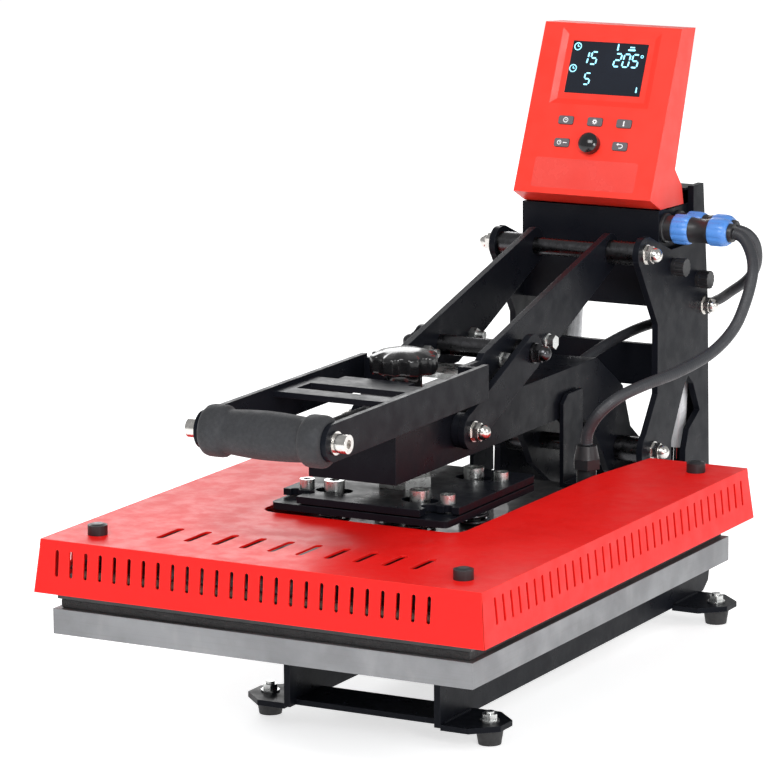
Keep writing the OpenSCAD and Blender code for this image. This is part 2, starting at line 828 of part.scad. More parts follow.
// A row of cooling slots through a skirt whose top edge lies along X.
module skirt_slots(top, slots, first) {
  rotate([90 - skirt_slope, 0, 0]) translate([0, 0, -cover_t - 2]) linear_extrude(cover_t + 4)
    for (i = [0:1:slots - 1])
      translate([-top / 2 + first + i * slot_pitch, -8 - slot_h / 2]) slot_2d(slot_w, slot_h);
}

module cut_out_2d() {
  mirror_pair() polygon([
    [-1, cut_y0], [cut_x - 14, cut_y0], [cut_x - 8, cut_y0 + 1.6], [cut_x - 2.5, cut_y0 + 6],
    [cut_x, cut_y0 + 13], [cut_x + 2, cut_flare_y], [cut_rear_x, cover_y1 + 5], [-1, cover_y1 + 5]
  ]);
}

module cover() {
  mid_y = (cover_y0 + cover_y1) / 2;
  color([0.9, 0.1, 0.05]) placed() difference() {
    cover_block(0, cover_z0, cover_z1);
    cover_block(cover_t, cover_z0 - 2, cover_z1 - cover_t);
    translate([0, mid_y - top_d / 2, cover_z1]) skirt_slots(top_w, 26, 17);
    mirror_pair() translate([top_w / 2, mid_y, cover_z1]) rotate(90) skirt_slots(top_d, 35, 21);
    translate([0, 0, cover_z1 - cover_t - 1]) linear_extrude(cover_t + 2) {
      for (x = [-nut_x, nut_x], y = [nut_y0, nut_y1]) translate([x, y]) circle(r = 4.2);
      for (i = [0:9]) translate([-121.5 + i * 27, 64]) slot_2d(7, 40);
    }
    translate([0, 0, cover_z0 - 5]) linear_extrude(60) cut_out_2d();
    mirror_pair() for (y = [cover_y0, cover_y1])
      translate([cover_w / 2 - 2, y + (y < 0 ? 2 : -2), cover_z0 - 1])
        rotate(y < 0 ? -45 : 45) translate([-8, -0.3, 0]) cube([16, 0.6, cover_h - 5]);
  }
}

module cover_nuts() {
  color("black") placed() for (x = [-nut_x, nut_x], y = [nut_y0, nut_y1]) translate([x, y, 0]) {
    translate([0, 0, heater_z1]) cylinder(r = 4, h = cover_z1 - heater_z1);
    translate([0, 0, sheet_z1]) difference() {
      cylinder(r = 8, h = cover_z1 - cover_t - sheet_z1);
      translate([0, 0, -1]) cylinder(r = 4, h = 40);
    }
    translate([0, 0, cover_z1]) cylinder(r = 8.5, h = 8.5);
    translate([0, 0, cover_z1 + 8.5]) cylinder(r1 = 8, r2 = 5, h = 1.2);
  }
}

module cable_gland() {
  color("black") placed() translate([gland_x, gland_y, 0]) {
    translate([0, 0, sheet_z1]) cylinder(r = 12.5, h = 4);
    translate([0, 0, sheet_z1 + 4]) cylinder(r = 9, h = 24);
    translate([0, 0, sheet_z1 + 28]) cylinder(r = 13, h = 9, $fn = 6);
    translate([0, 0, sheet_z1 + 37]) cylinder(r1 = 11.5, r2 = 9, h = 12);
  }
}

// ---------- gas struts ----------
// Draws along a strut's axis: origin at the upper eye, +Z towards the arm's tail.
module on_strut() {
  dy = tail_y - strut_y;
  dz = tail_z - strut_z;
  translate([strut_x, strut_y, strut_z]) rotate([atan2(-dy, dz), 0, 0]) children();
}

module strut_cylinders() {
  color([0.75, 0.76, 0.78]) placed() mirror_pair() on_strut() difference() {
    union() {
      rotate([0, 90, 0]) translate([0, 0, -5]) cylinder(r = 8, h = 10);
      translate([0, 0, 6]) cylinder(r = 4, h = 7);
      translate([0, 0, 12]) cylinder(r = 7.5, h = 125);
    }
    rotate([0, 90, 0]) translate([0, 0, -7]) cylinder(r = 4 + run, h = 14);
    translate([0, 0, 36]) cylinder(r = 3 + run, h = 103);
  }
}

module strut_rods() {
  color("silver") placed() mirror_pair() on_strut() {
    translate([0, 0, 46]) cylinder(r = 3, h = strut_len - 50);
    translate([0, 0, strut_len]) rotate([0, 90, 0]) translate([0, 0, -13.5]) cylinder(r = 7, h = 19);
  }
}

module heater_cable() {
  color([0.2, 0.2, 0.22]) placed() tube_along(heater_route, 5.5, 10);
}

module sensor_cable() {
  color([0.2, 0.2, 0.22]) placed() tube_along(sensor_route, 5, 10);
}

side_plate_left();
side_plate_right();
front_cross_plate();
rear_cross_plate();
foot_plates();
rubber_feet();
foot_bolts();
lower_platen();
foam_pad();
control_box();
box_rear_cover();
control_head();
head_rear_cover();
display();
circuit_board();
mains_inlet();
power_switch();
cable_plugs();
fuse_holders();
fuse_caps();
button_1();
button_2();
button_3();
button_4();
button_5();
encoder_knob();
pivot_shafts();
shaft_spacers();
shaft_nuts();
strut_bolts();
lever_arms();
lever_web();
handle_plates();
handle_frame();
grip();
grip_bolts();
cross_shaft();
lever_bolts();
link_plates();
link_pins();
swing_arm();
thrust_bush();
star_knob();
pressure_screw();
adjuster_nut();
upper_mount_plate();
lower_mount_plate();
mount_screws();
mount_springs();
guide_brackets();
inner_sheet();
insulation_mat();
heater_block();
cover();
cover_nuts();
cable_gland();
strut_rods();
strut_cylinders();
heater_cable();
sensor_cable();
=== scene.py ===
import bpy
import bmesh
import math
from mathutils import Matrix, Vector, noise


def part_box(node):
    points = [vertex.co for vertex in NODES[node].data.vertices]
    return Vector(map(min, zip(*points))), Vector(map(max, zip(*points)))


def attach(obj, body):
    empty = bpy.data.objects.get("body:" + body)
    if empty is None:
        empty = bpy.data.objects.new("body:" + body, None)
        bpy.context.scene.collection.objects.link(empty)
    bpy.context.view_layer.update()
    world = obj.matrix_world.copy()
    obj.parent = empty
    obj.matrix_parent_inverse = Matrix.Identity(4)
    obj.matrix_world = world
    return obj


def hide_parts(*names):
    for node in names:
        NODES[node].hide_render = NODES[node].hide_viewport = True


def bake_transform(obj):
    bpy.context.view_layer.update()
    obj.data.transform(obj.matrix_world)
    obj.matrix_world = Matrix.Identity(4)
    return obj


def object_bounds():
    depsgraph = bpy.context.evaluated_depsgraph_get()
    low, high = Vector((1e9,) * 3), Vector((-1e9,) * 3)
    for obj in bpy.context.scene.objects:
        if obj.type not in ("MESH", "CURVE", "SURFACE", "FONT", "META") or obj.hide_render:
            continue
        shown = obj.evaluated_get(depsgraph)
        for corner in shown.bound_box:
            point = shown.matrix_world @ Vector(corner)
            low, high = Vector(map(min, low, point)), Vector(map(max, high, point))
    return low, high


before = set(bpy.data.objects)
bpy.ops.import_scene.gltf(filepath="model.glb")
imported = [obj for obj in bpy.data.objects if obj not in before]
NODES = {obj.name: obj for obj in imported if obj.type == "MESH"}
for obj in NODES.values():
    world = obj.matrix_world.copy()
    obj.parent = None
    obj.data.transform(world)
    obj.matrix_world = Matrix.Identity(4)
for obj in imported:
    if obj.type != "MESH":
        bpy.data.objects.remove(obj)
CAD_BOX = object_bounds()

# Machine coordinates, as in the CAD source: millimetres, depth counted from the lower platen's front edge.
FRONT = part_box("lower_platen")[0].y


def at(x, y, z):
    return Vector((x / 1000, FRONT + y / 1000, z / 1000))


# ---------------------------------------------------------------- camera
AZIMUTH, ELEVATION, ROLL = (math.radians(a) for a in (28.548, 11.35, -0.387))
LENS, EYE = 207.29, at(1820.276, -3112.339, 1065.085)
ahead = Vector((-math.sin(AZIMUTH) * math.cos(ELEVATION),
                math.cos(AZIMUTH) * math.cos(ELEVATION), -math.sin(ELEVATION)))
level = Vector((math.cos(AZIMUTH), math.sin(AZIMUTH), 0))
above = level.cross(ahead)
right = level * math.cos(ROLL) + above * math.sin(ROLL)
up = right.cross(ahead)
camera = bpy.data.objects.new("Camera", bpy.data.cameras.new("Camera"))
bpy.context.scene.collection.objects.link(camera)
bpy.context.scene.camera = camera
camera.data.sensor_fit = "HORIZONTAL"
camera.data.sensor_width = 36
camera.data.lens = LENS
camera.data.clip_start, camera.data.clip_end = 0.1, 50
turn = Matrix((right, up, -ahead)).transposed().to_4x4()
camera.matrix_world = Matrix.Translation(EYE) @ turn


# ---------------------------------------------------------------- materials
class Shader:
    """A material under construction: a Principled shader and helpers that add nodes to it."""

    def __init__(self, name, color, rough, metal=0.0):
        self.mat = bpy.data.materials.new(name)
        self.mat.use_nodes = True
        self.tree = self.mat.node_tree
        self.bsdf = self.tree.nodes["Principled BSDF"]
        self.color = color
        self.set("Base Color", (*color, 1))
        self.set("Roughness", rough)
        self.set("Metallic", metal)
        self.place = self.node("ShaderNodeTexCoord").outputs["Object"]

    def set(self, socket, value):
        self.bsdf.inputs[socket].default_value = value
        return self

    def node(self, kind, **values):
        made = self.tree.nodes.new(kind)
        for key, value in values.items():
            setattr(made, key, value)
        return made

    def link(self, out, into):
        self.tree.links.new(out, into)

    def stretched(self, scale):
        mapping = self.node("ShaderNodeMapping")
        mapping.inputs["Scale"].default_value = scale
        self.link(self.place, mapping.inputs["Vector"])
        return mapping.outputs["Vector"]

    def noise(self, scale, detail=3.0, stretch=None, rough=0.55):
        made = self.node("ShaderNodeTexNoise")
        made.inputs["Scale"].default_value = scale
        made.inputs["Detail"].default_value = detail
        made.inputs["Roughness"].default_value = rough
        self.link(self.stretched(stretch) if stretch else self.place, made.inputs["Vector"])
        return made.outputs["Fac"]

    def cells(self, scale):
        made = self.node("ShaderNodeTexVoronoi")
        made.inputs["Scale"].default_value = scale
        self.link(self.place, made.inputs["Vector"])
        return made.outputs["Distance"]

    def spread(self, value, low, high, out_low=0.0, out_high=1.0):
        made = self.node("ShaderNodeMapRange")
        made.interpolation_type = "SMOOTHSTEP"
        ends = {"From Min": low, "From Max": high, "To Min": out_low, "To Max": out_high}
        for key, number in ends.items():
            made.inputs[key].default_value = number
        self.link(value, made.inputs["Value"])
        return made.outputs["Result"]

    def math(self, kind, a, b):
        made = self.node("ShaderNodeMath", operation=kind)
        for socket, value in zip(made.inputs, (a, b)):
            if isinstance(value, (int, float)):
                socket.default_value = value
            else:
                self.link(value, socket)
        return made.outputs["Value"]

    def tint(self, value, color):
        """Lays a colour over what there is, where value is 1."""
        mix = self.node("ShaderNodeMix", data_type="RGBA")
        self.link(value, mix.inputs["Factor"])
        base = self.bsdf.inputs["Base Color"]
        if base.is_linked:
            self.link(base.links[0].from_socket, mix.inputs["A"])
        else:
            mix.inputs["A"].default_value = base.default_value
        mix.inputs["B"].default_value = (*color, 1)
        self.link(mix.outputs["Result"], base)
        return self

    def roughness(self, value, low, high):
        self.link(self.spread(value, 0.3, 0.7, low, high), self.bsdf.inputs["Roughness"])
        return self

    def bump(self, value, depth, strength=1.0):
        """Adds relief of that depth in metres, on top of the relief that there is."""
        made = self.node("ShaderNodeBump")
        made.inputs["Strength"].default_value = strength
        made.inputs["Distance"].default_value = depth
        self.link(value, made.inputs["Height"])
        into = self.bsdf.inputs["Normal"]
        if into.is_linked:
            self.link(into.links[0].from_socket, made.inputs["Normal"])
        self.link(made.outputs["Normal"], into)
        return self

    def soft_edges(self, radius):
        made = self.node("ShaderNodeBevel", samples=4)
        made.inputs["Radius"].default_value = radius
        self.link(made.outputs["Normal"], self.bsdf.inputs["Normal"])
        return made.outputs["Normal"]

    def edge_wear_and_highlight(self, radius, color, much):
        """Rounds sharp edges for the light, and tints them lighter in patches: partly rubbed wear, partly a
        painted edge highlight.
        """
        rounded = self.soft_edges(radius)
        flat = self.node("ShaderNodeNewGeometry").outputs["Normal"]
        dot = self.node("ShaderNodeVectorMath", operation="DOT_PRODUCT")
        self.link(rounded, dot.inputs[0])
        self.link(flat, dot.inputs[1])
        edge = self.spread(dot.outputs["Value"], 0.99, 0.86)
        patches = self.spread(self.noise(60, 3), 0.3, 0.7, 0.55, 1.0)
        # Lighter along the edges: rubbed wear and a painted edge highlight.
        self.tint(self.math("MULTIPLY", self.math("MULTIPLY", edge, patches), much), color)
        return self


def powder(name, color, low, high, wear_and_highlight_color, much, grain, coat, shine):
    """Powder coat: a fine orange peel with painted glints in fine lighter specks; its edges are tinted
    lighter, partly rubbed wear and partly a painted edge highlight.
    """
    s = Shader(name, color, (low + high) / 2)
    s.set("Coat Weight", coat).set("Coat Roughness", 0.2)
    s.set("Specular IOR Level", shine)
    s.tint(s.spread(s.noise(11, 3), 0.35, 0.75, 0, 0.35), [c * 0.78 for c in color])
    # Fine lighter specks: painted glints, standing in for the powder's sparkle.
    s.tint(s.spread(s.noise(1500, 1), 0.62, 0.8, 0, 0.5),
           [min(1, c * 1.35 + 0.012) for c in color])
    s.edge_wear_and_highlight(0.0007, wear_and_highlight_color, much)
    s.roughness(s.noise(60, 4), low, high)
    s.bump(s.noise(420, 2), grain, 0.55)
    s.bump(s.noise(1150, 2), grain * 0.6, 0.7)
    return s.mat


def metal(name, color, low, high, brushed=None, depth=0.00002, dull=(0.3, 0.29, 0.28)):
    s = Shader(name, color, (low + high) / 2, 1.0)
    s.soft_edges(0.0003)
    s.tint(s.spread(s.noise(240, 5), 0.52, 0.8, 0, 0.2), dull)
    s.roughness(s.noise(170, 5), low, high)
    if brushed:
        s.bump(s.noise(1, 3, brushed), depth, 0.6)
    else:
        s.bump(s.noise(900, 3), depth, 0.4)
    return s.mat


def plastic(name, color, low, high, grain=0.00003, coat=0.0, radius=0.0004):
    s = Shader(name, color, (low + high) / 2)
    s.set("Coat Weight", coat)
    s.soft_edges(radius)
    s.tint(s.spread(s.noise(45, 4), 0.4, 0.75, 0, 0.4), [c * 0.8 for c in color])
    s.roughness(s.noise(220, 4), low, high)
    s.bump(s.noise(1300, 2), grain, 0.6)
    return s.mat


def rubbery(name, color, low, high, pores, depth, sheen=0.0):
    s = Shader(name, color, (low + high) / 2)
    s.set("Sheen Weight", sheen).set("Sheen Roughness", 0.5)
    s.tint(s.spread(s.noise(70, 5), 0.4, 0.75, 0, 0.6), [c * 1.7 for c in color])
    # Darker in the pores: painted shade in the pits, which the bump below dents.
    s.tint(s.spread(s.cells(pores), 0.32, 0.05, 0, 0.8), [c * 0.35 for c in color])
    s.roughness(s.noise(300, 3), low, high)
    s.bump(s.spread(s.cells(pores), 0.05, 0.4), depth, 0.8)
    s.bump(s.noise(pores * 0.55, 3), depth, 0.5)
    return s.mat


black_powder = powder("black_powder", (0.007, 0.008, 0.0115), 0.26, 0.42, (0.05, 0.054, 0.064), 0.6,
                      grain=0.00006, coat=0.0, shine=0.07)
red_powder = powder("red_powder", (0.86, 0.006, 0.004), 0.4, 0.52, (0.95, 0.12, 0.08), 0.5,
                    grain=0.00007, coat=0.03, shine=0.3)
# The control head's red: the red powder coat made lighter and pinker, painted light standing in for its
# brightly lit front.
red_powder_lit_copy = powder("red_powder_lit_copy", (0.95, 0.035, 0.018), 0.32, 0.45, (0.97, 0.2, 0.14), 0.4,
                   grain=0.00004, coat=0.1, shine=0.4)
stainless = metal("stainless_steel", (0.72, 0.70, 0.67), 0.14, 0.3)
zinc = metal("zinc_plate", (0.66, 0.67, 0.66), 0.22, 0.4, dull=(0.42, 0.42, 0.4))
chrome = metal("chrome_rod", (0.8, 0.8, 0.8), 0.06, 0.14, depth=0.000005)
oiled_steel = metal("oiled_shaft", (0.075, 0.075, 0.08), 0.2, 0.38, (900, 40, 40), 0.00003,
                    dull=(0.03, 0.03, 0.032))
dark_steel = metal("spring_steel", (0.16, 0.16, 0.17), 0.25, 0.4)
black_plastic = plastic("black_plastic", (0.018, 0.018, 0.02), 0.3, 0.45, 0.00004)
knob_gloss = plastic("knob_gloss", (0.008, 0.008, 0.009), 0.16, 0.22, 0.000002, 0.25, 0.0003)
key_plastic = plastic("key_plastic", (0.12, 0.11, 0.12), 0.34, 0.48, 0.00002, 0.0, 0.0006)
blue_plastic = plastic("blue_plastic", (0.085, 0.27, 0.72), 0.26, 0.4, 0.00003, 0.15)
rubber = rubbery("rubber_feet", (0.019, 0.019, 0.02), 0.5, 0.7, 1500, 0.00006)
grip_foam = rubbery("grip_foam", (0.017, 0.018, 0.021), 0.62, 0.8, 1900, 0.00013, 0.08)
pad_sponge = rubbery("pad_sponge", (0.024, 0.024, 0.025), 0.68, 0.85, 520, 0.0006, 0.1)
felt = rubbery("insulation_felt", (0.55, 0.5, 0.4), 0.8, 0.95, 700, 0.0005, 0.4)
board_green = plastic("circuit_board", (0.02, 0.16, 0.06), 0.25, 0.4, 0.00002, 0.3)

s = Shader("lower_platen_metal", (0.26, 0.265, 0.275), 0.45, 0.92)
s.soft_edges(0.0008)
s.tint(s.spread(s.noise(16, 6, None, 0.7), 0.47, 0.72, 0, 0.35), (0.18, 0.182, 0.186))
s.tint(s.spread(s.noise(34, 5, (1, 1, 0.4)), 0.56, 0.75, 0, 0.3), (0.36, 0.36, 0.365))
s.tint(s.spread(s.noise(1, 4, (9, 9, 900)), 0.5, 0.72, 0, 0.35), (0.22, 0.22, 0.225))
s.roughness(s.noise(26, 5), 0.36, 0.6)
s.bump(s.noise(1, 3, (12, 12, 1500)), 0.00006, 0.7)
s.bump(s.noise(180, 4), 0.00005, 0.4)
platen_metal = s.mat

s = Shader("silver_tube", (0.8, 0.81, 0.83), 0.28, 0.1)
s.soft_edges(0.0004)
s.tint(s.spread(s.noise(1, 3, (60, 60, 7)), 0.5, 0.7, 0, 0.4), (0.66, 0.68, 0.71))
s.roughness(s.noise(90, 4), 0.2, 0.36)
s.bump(s.noise(800, 2), 0.00001, 0.4)
strut_silver = s.mat

s = Shader("heater_coating", (0.016, 0.016, 0.018), 0.4)
s.set("Coat Weight", 0.1)
s.soft_edges(0.0006)
s.tint(s.spread(s.noise(130, 5), 0.45, 0.7, 0, 0.6), (0.04, 0.038, 0.036))
s.roughness(s.noise(80, 4), 0.36, 0.56)
s.bump(s.noise(700, 3), 0.00006, 0.6)
heater_coat = s.mat

s = Shader("screen_glass", (0.003, 0.006, 0.014), 0.08)
s.set("Coat Weight", 0.5).set("Coat Roughness", 0.03)
s.tint(s.spread(s.noise(30, 2), 0.4, 0.7, 0, 0.5), (0.006, 0.011, 0.022))
s.roughness(s.noise(180, 3), 0.05, 0.11)
screen_glass = s.mat

s = Shader("screen_glow", (0.25, 0.75, 0.95), 0.4)
s.tint(s.spread(s.noise(700, 2), 0.4, 0.65, 0, 0.5), (0.5, 0.9, 1.0))
s.set("Emission Color", (0.3, 0.8, 1.0, 1)).set("Emission Strength", 1.1)
screen_glow = s.mat

s = Shader("key_legend", (0.93, 0.93, 0.94), 0.5)
s.tint(s.spread(s.noise(900, 2), 0.45, 0.7, 0, 0.5), (0.8, 0.8, 0.82))
s.bump(s.noise(1500, 2), 0.00001, 0.5)
legend_white = s.mat

s = Shader("clear_label", (0.8, 0.06, 0.045), 0.2)
s.set("Coat Weight", 0.5).set("Coat Roughness", 0.12)
s.tint(s.spread(s.noise(22, 3), 0.4, 0.7, 0, 0.4), (0.76, 0.04, 0.03))
s.roughness(s.noise(40, 3), 0.16, 0.3)
s.bump(s.noise(350, 2), 0.00001, 0.4)
clear_label = s.mat

# Cable jacket: a dark woven sleeve with scuffed highlights.
s = Shader("cable_jacket", (0.028, 0.03, 0.035), 0.4)
s.tint(s.spread(s.noise(110, 5), 0.45, 0.7, 0, 0.6), (0.042, 0.043, 0.047))
s.roughness(s.noise(200, 4), 0.38, 0.56)
s.bump(s.noise(650, 3), 0.00006, 0.7)
s.bump(s.cells(900), 0.00004, 0.5)
cable_jacket = s.mat

OF_NODE = {
    black_powder: "side_plate_left side_plate_right front_cross_plate rear_cross_plate foot_plates"
                  " control_box lever_arms handle_plates handle_frame link_plates swing_arm"
                  " upper_mount_plate lower_mount_plate guide_brackets box_rear_cover",
    red_powder: "cover head_rear_cover",
    red_powder_lit_copy: "control_head",
    platen_metal: "lower_platen",
    rubber: "rubber_feet",
    zinc: "foot_bolts lever_web adjuster_nut pressure_screw lever_bolts mount_screws",
    stainless: "shaft_nuts strut_bolts grip_bolts link_pins",
    chrome: "strut_rods",
    strut_silver: "strut_cylinders",
    oiled_steel: "pivot_shafts shaft_spacers cross_shaft thrust_bush",
    dark_steel: "mount_springs",
    heater_coat: "inner_sheet heater_block",
    black_plastic: "mains_inlet power_switch fuse_holders fuse_caps cover_nuts cable_gland",
    knob_gloss: "encoder_knob star_knob",
    key_plastic: "button_1 button_2 button_3 button_4 button_5",
    screen_glass: "display",
    board_green: "circuit_board",
    felt: "insulation_mat",
    pad_sponge: "foam_pad",
    grip_foam: "grip",
    blue_plastic: "cable_plugs",
    cable_jacket: "heater_cable sensor_cable",
}
for mat, names in OF_NODE.items():
    for name in names.split():
        mesh = NODES[name].data
        mesh.materials.clear()
        mesh.materials.append(mat)


# ---------------------------------------------------------------- mesh helpers
def piece(name, form, mat, body=None, smooth=35):
    """A new mesh object from (vertices, faces). smooth: edges above that angle in degrees stay sharp."""
    verts, faces = form
    mesh = bpy.data.meshes.new(name)
    mesh.from_pydata([tuple(v) for v in verts], [], faces)
    mesh.materials.append(mat)
    bm = bmesh.new()
    bm.from_mesh(mesh)
    bmesh.ops.remove_doubles(bm, verts=bm.verts, dist=1e-7)
    bmesh.ops.recalc_face_normals(bm, faces=bm.faces)
    bm.to_mesh(mesh)
    bm.free()
    mesh.polygons.foreach_set("use_smooth", [True] * len(mesh.polygons))
    mesh.set_sharp_from_angle(angle=math.radians(smooth))
    obj = bpy.data.objects.new(name, mesh)
    bpy.context.scene.collection.objects.link(obj)
    if body:
        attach(obj, body)
    return obj


def cross_axes(axis):
    side = axis.cross(Vector((0, 0, 1)) if abs(axis.z) < 0.9 else Vector((1, 0, 0))).normalized()
    return side, axis.cross(side).normalized()


def lathe(origin, axis, rings, segments=72, closed=False, shape=None):
    """A turned form. rings are (radius, distance along the axis) in millimetres."""
    axis = Vector(axis).normalized()
    a, b = cross_axes(axis)
    verts, faces = [], []
    for r, d in rings:
        for k in range(segments):
            t = 2 * math.pi * k / segments
            radius = shape(t, r, d) if shape else r
            spoke = a * math.cos(t) + b * math.sin(t)
            verts.append(origin + (axis * d + spoke * radius) / 1000)
    rows = len(rings)
    for i in range(rows if closed else rows - 1):
        j = (i + 1) % rows
        for k in range(segments):
            q = (k + 1) % segments
            faces.append((i * segments + k, i * segments + q, j * segments + q, j * segments + k))
    return verts, faces


def swept(path, radius, sides):
    """A tube along a list of points in metres; radius is a number or a function of (distance, angle)."""
    n = len(path)
    verts, faces = [], []
    heading = (path[1] - path[0]).normalized()
    a, _ = cross_axes(heading)
    along = 0.0
    for i, p in enumerate(path):
        if i:
            along += (p - path[i - 1]).length
        ahead_now = (path[min(i + 1, n - 1)] - path[max(i - 1, 0)]).normalized()
        a = (a - ahead_now * a.dot(ahead_now)).normalized()
        b = ahead_now.cross(a)
        for k in range(sides):
            t = 2 * math.pi * k / sides
            r = radius(along, t) if callable(radius) else radius
            verts.append(p + (a * math.cos(t) + b * math.sin(t)) * r)
    for i in range(n - 1):
        for k in range(sides):
            q = (k + 1) % sides
            faces.append((i * sides + k, i * sides + q, (i + 1) * sides + q, (i + 1) * sides + k))
    faces.append(tuple(range(sides - 1, -1, -1)))
    faces.append(tuple((n - 1) * sides + k for k in range(sides)))
    return verts, faces


def curved(points, steps):
    """A Catmull-Rom line through the points."""
    out = []
    for i in range(len(points) - 1):
        a, b, c = points[max(i - 1, 0)], points[i], points[i + 1]
        d = points[min(i + 2, len(points) - 1)]
        for k in range(steps):
            t = k / steps
            out.append(0.5 * (2 * b + (c - a) * t + (2 * a - 5 * b + 4 * c - d) * t * t
                              + (3 * b - a - 3 * c + d) * t ** 3))
    out.append(points[-1])
    return out


def joined(*parts):
    """Several (vertices, faces) as one."""
    verts, faces = [], []
    for v, f in parts:
        base = len(verts)
        verts += v
        faces += [tuple(i + base for i in face) for face in f]
    return verts, faces


def prism(outline, lift, height, place):
    """A flat outline, raised. place turns (u, v, w) into a point."""
    n = len(outline)
    verts = [place(u, v, w) for w in (lift, lift + height) for u, v in outline]
    faces = [tuple(range(n - 1, -1, -1)), tuple(range(n, 2 * n))]
    faces += [(k, (k + 1) % n, n + (k + 1) % n, n + k) for k in range(n)]
    return verts, faces


# ---------------------------------------------------------------- the two cables
HEATER_ROUTE = [at(*p) for p in (
    (141, 639, 382), (148, 638.6, 380.2), (154, 636, 375.6), (160.5, 631, 368.5), (166.3, 624, 360),
    (169.7, 616, 349), (169, 604.5, 328), (163, 591, 303), (153, 563, 284), (140, 520, 273), (126, 482, 267),
    (112, 457, 259), (99, 443, 246), (90, 440.4, 232), (87, 440, 223), (87, 440, 215.9))]
SENSOR_ROUTE = [at(*p) for p in (
    (131, 668, 380.5), (138, 669, 379), (143.3, 672.5, 374), (145.6, 677.5, 366), (145, 682.5, 357),
    (142.3, 688, 348), (137, 694.5, 339), (129.5, 701, 331), (118.3, 709, 322), (102.5, 719, 312),
    (87, 730, 302.2), (72, 737.5, 295), (57, 733, 288.5), (42, 708, 282.5), (28, 668, 278), (18, 622, 270),
    (10, 580, 259), (8, 545, 252))]


def resampled(path, step):
    """The same line in even steps."""
    out, want, gone = [path[0]], step, 0.0
    for a, b in zip(path, path[1:]):
        piece_length = (b - a).length
        while gone + piece_length >= want:
            out.append(a.lerp(b, (want - gone) / piece_length))
            want += step
        gone += piece_length
    if (out[-1] - path[-1]).length < step * 0.3:
        out.pop()
    return out + [path[-1]]


def eased(path, times):
    """Takes the tightness out of the bends and keeps both ends."""
    for _ in range(times):
        inner = [(a + b * 2 + c) / 4 for a, b, c in zip(path, path[1:], path[2:])]
        path = [path[0]] + inner + [path[-1]]
    return path


PATH_STEP, EASINGS = 0.00065, 60
STRANDS, WEAVE_PITCH = 8, 1300


def cable(name, route, radius, node):
    """A cable along its route, in place of its CAD node."""
    path = eased(resampled(curved(route, 24), PATH_STEP), EASINGS)

    def lay(along, t):
        """The radius where strands of the woven sleeve cross."""
        turned, moved = STRANDS * t, along * WEAVE_PITCH
        return radius * (0.96 + 0.035 * (math.cos(turned - moved) * math.cos(turned + moved)))

    obj = piece(name, swept(path, lay, 48), cable_jacket, smooth=60)
    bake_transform(obj)
    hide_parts(node)


cable("heater_flex", HEATER_ROUTE, 0.0055, "heater_cable")
cable("sensor_flex", SENSOR_ROUTE, 0.005, "sensor_cable")

# ---------------------------------------------------------------- round connectors on the column's side
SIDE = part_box("side_plate_right")[1].x * 1000
PLUG_X = 70.8
PLUGS = (("front", 639, 382, 0), ("rear", 668, 380.5, 10))


def fluted(count):
    """Grip grooves round a nut, where it is thicker than its end faces."""
    def shape(t, r, d):
        return r - 0.8 * (0.5 - 0.5 * math.cos(count * t)) ** 3 if r > 12.6 else r
    return shape


for tag, y, z, cut in PLUGS:
    here, outward = at(PLUG_X, y, z), (1, 0, 0)
    flange = [(0, -1.9), (8.8, -1.9), (8.8, 0), (14, 0), (14, 2.2), (13.2, 3), (12, 3), (12, 10), (0, 10)]
    barrel = [(0, 26), (11.9, 26), (11.9, 29), (11.4, 30), (11.4, 43 - cut), (11.9, 44 - cut),
              (11.9, 48 - cut), (0, 48 - cut)]
    neck = [(0, 65 - cut), (8.9, 65 - cut), (8.9, 67.5 - cut), (8.2, 69.6 - cut), (6.2, 70.1 - cut),
            (0, 69.4 - cut)]
    union = [(0, 10), (12.2, 10), (12.6, 10.4), (13.8, 11.4), (14.1, 13), (14.1, 22), (13.8, 24.5),
             (13.2, 26.2), (12.4, 27), (0, 27)]
    clamp = [(0, 47 - cut), (12.6, 47 - cut), (13.2, 48 - cut), (13.3, 50 - cut), (13.3, 58 - cut),
             (12.6, 62.5 - cut), (10.6, 65.6 - cut), (0, 65.6 - cut)]
    piece(f"connector_body_{tag}", joined(*(lathe(here, outward, r) for r in (flange, barrel, neck))),
          black_plastic, "frame")
    nuts = piece(f"connector_nuts_{tag}",
                 joined(lathe(here, outward, union, 120, shape=fluted(12)),
                        lathe(here, outward, clamp, 120, shape=fluted(10))),
                 blue_plastic, "frame")
    if tag == "front":
        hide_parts("cable_plugs")

# ---------------------------------------------------------------- star knob: eight lobes under a shallow dome
LOBES, KNOB_R, DOME_R = 8, 30, 17
FLUTE_AT, FLUTE_R, ROUNDING = 33, 7.5, 1.3


def lobed(t, r, d):
    """The knob's radius: flutes between the lobes, fading towards the middle of the dome."""
    off = (math.degrees(t) % (360 / LOBES)) - 180 / LOBES
    across = FLUTE_AT * math.sin(math.radians(off))
    flute = KNOB_R + 3
    if abs(across) < FLUTE_R:
        flute = FLUTE_AT * math.cos(math.radians(off)) - math.sqrt(FLUTE_R ** 2 - across ** 2)
    rim = -math.log(math.exp(-ROUNDING * KNOB_R) + math.exp(-ROUNDING * flute)) / ROUNDING
    share = min(1, max(0, (r - DOME_R) / (KNOB_R - DOME_R)))
    return r - (KNOB_R - rim) * share ** 1.4


low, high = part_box("star_knob")
knob_top = Vector(((low.x + high.x) / 2, (low.y + high.y) / 2, high.z))
knob = [(0, -18), (8.3, -18), (8.3, -35.8), (15.2, -35.8), (16, -35), (16, -21.3), (28.4, -21.3),
        (29.4, -20.8), (29.9, -19.6), (30, -18), (30, -8.4), (29.8, -6.9), (29.2, -5.8), (28.2, -5.1),
        (26.6, -4.5), (23.5, -3.4), (20, -2.4), (16, -1.5), (12, -0.85), (8, -0.4), (4, -0.12), (0, -0.05)]
star = piece("star_knob_moulding", lathe(knob_top, (0, 0, 1), knob, 144, shape=lobed),
             knob_gloss, "pressure_adjuster", 60)
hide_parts("star_knob")

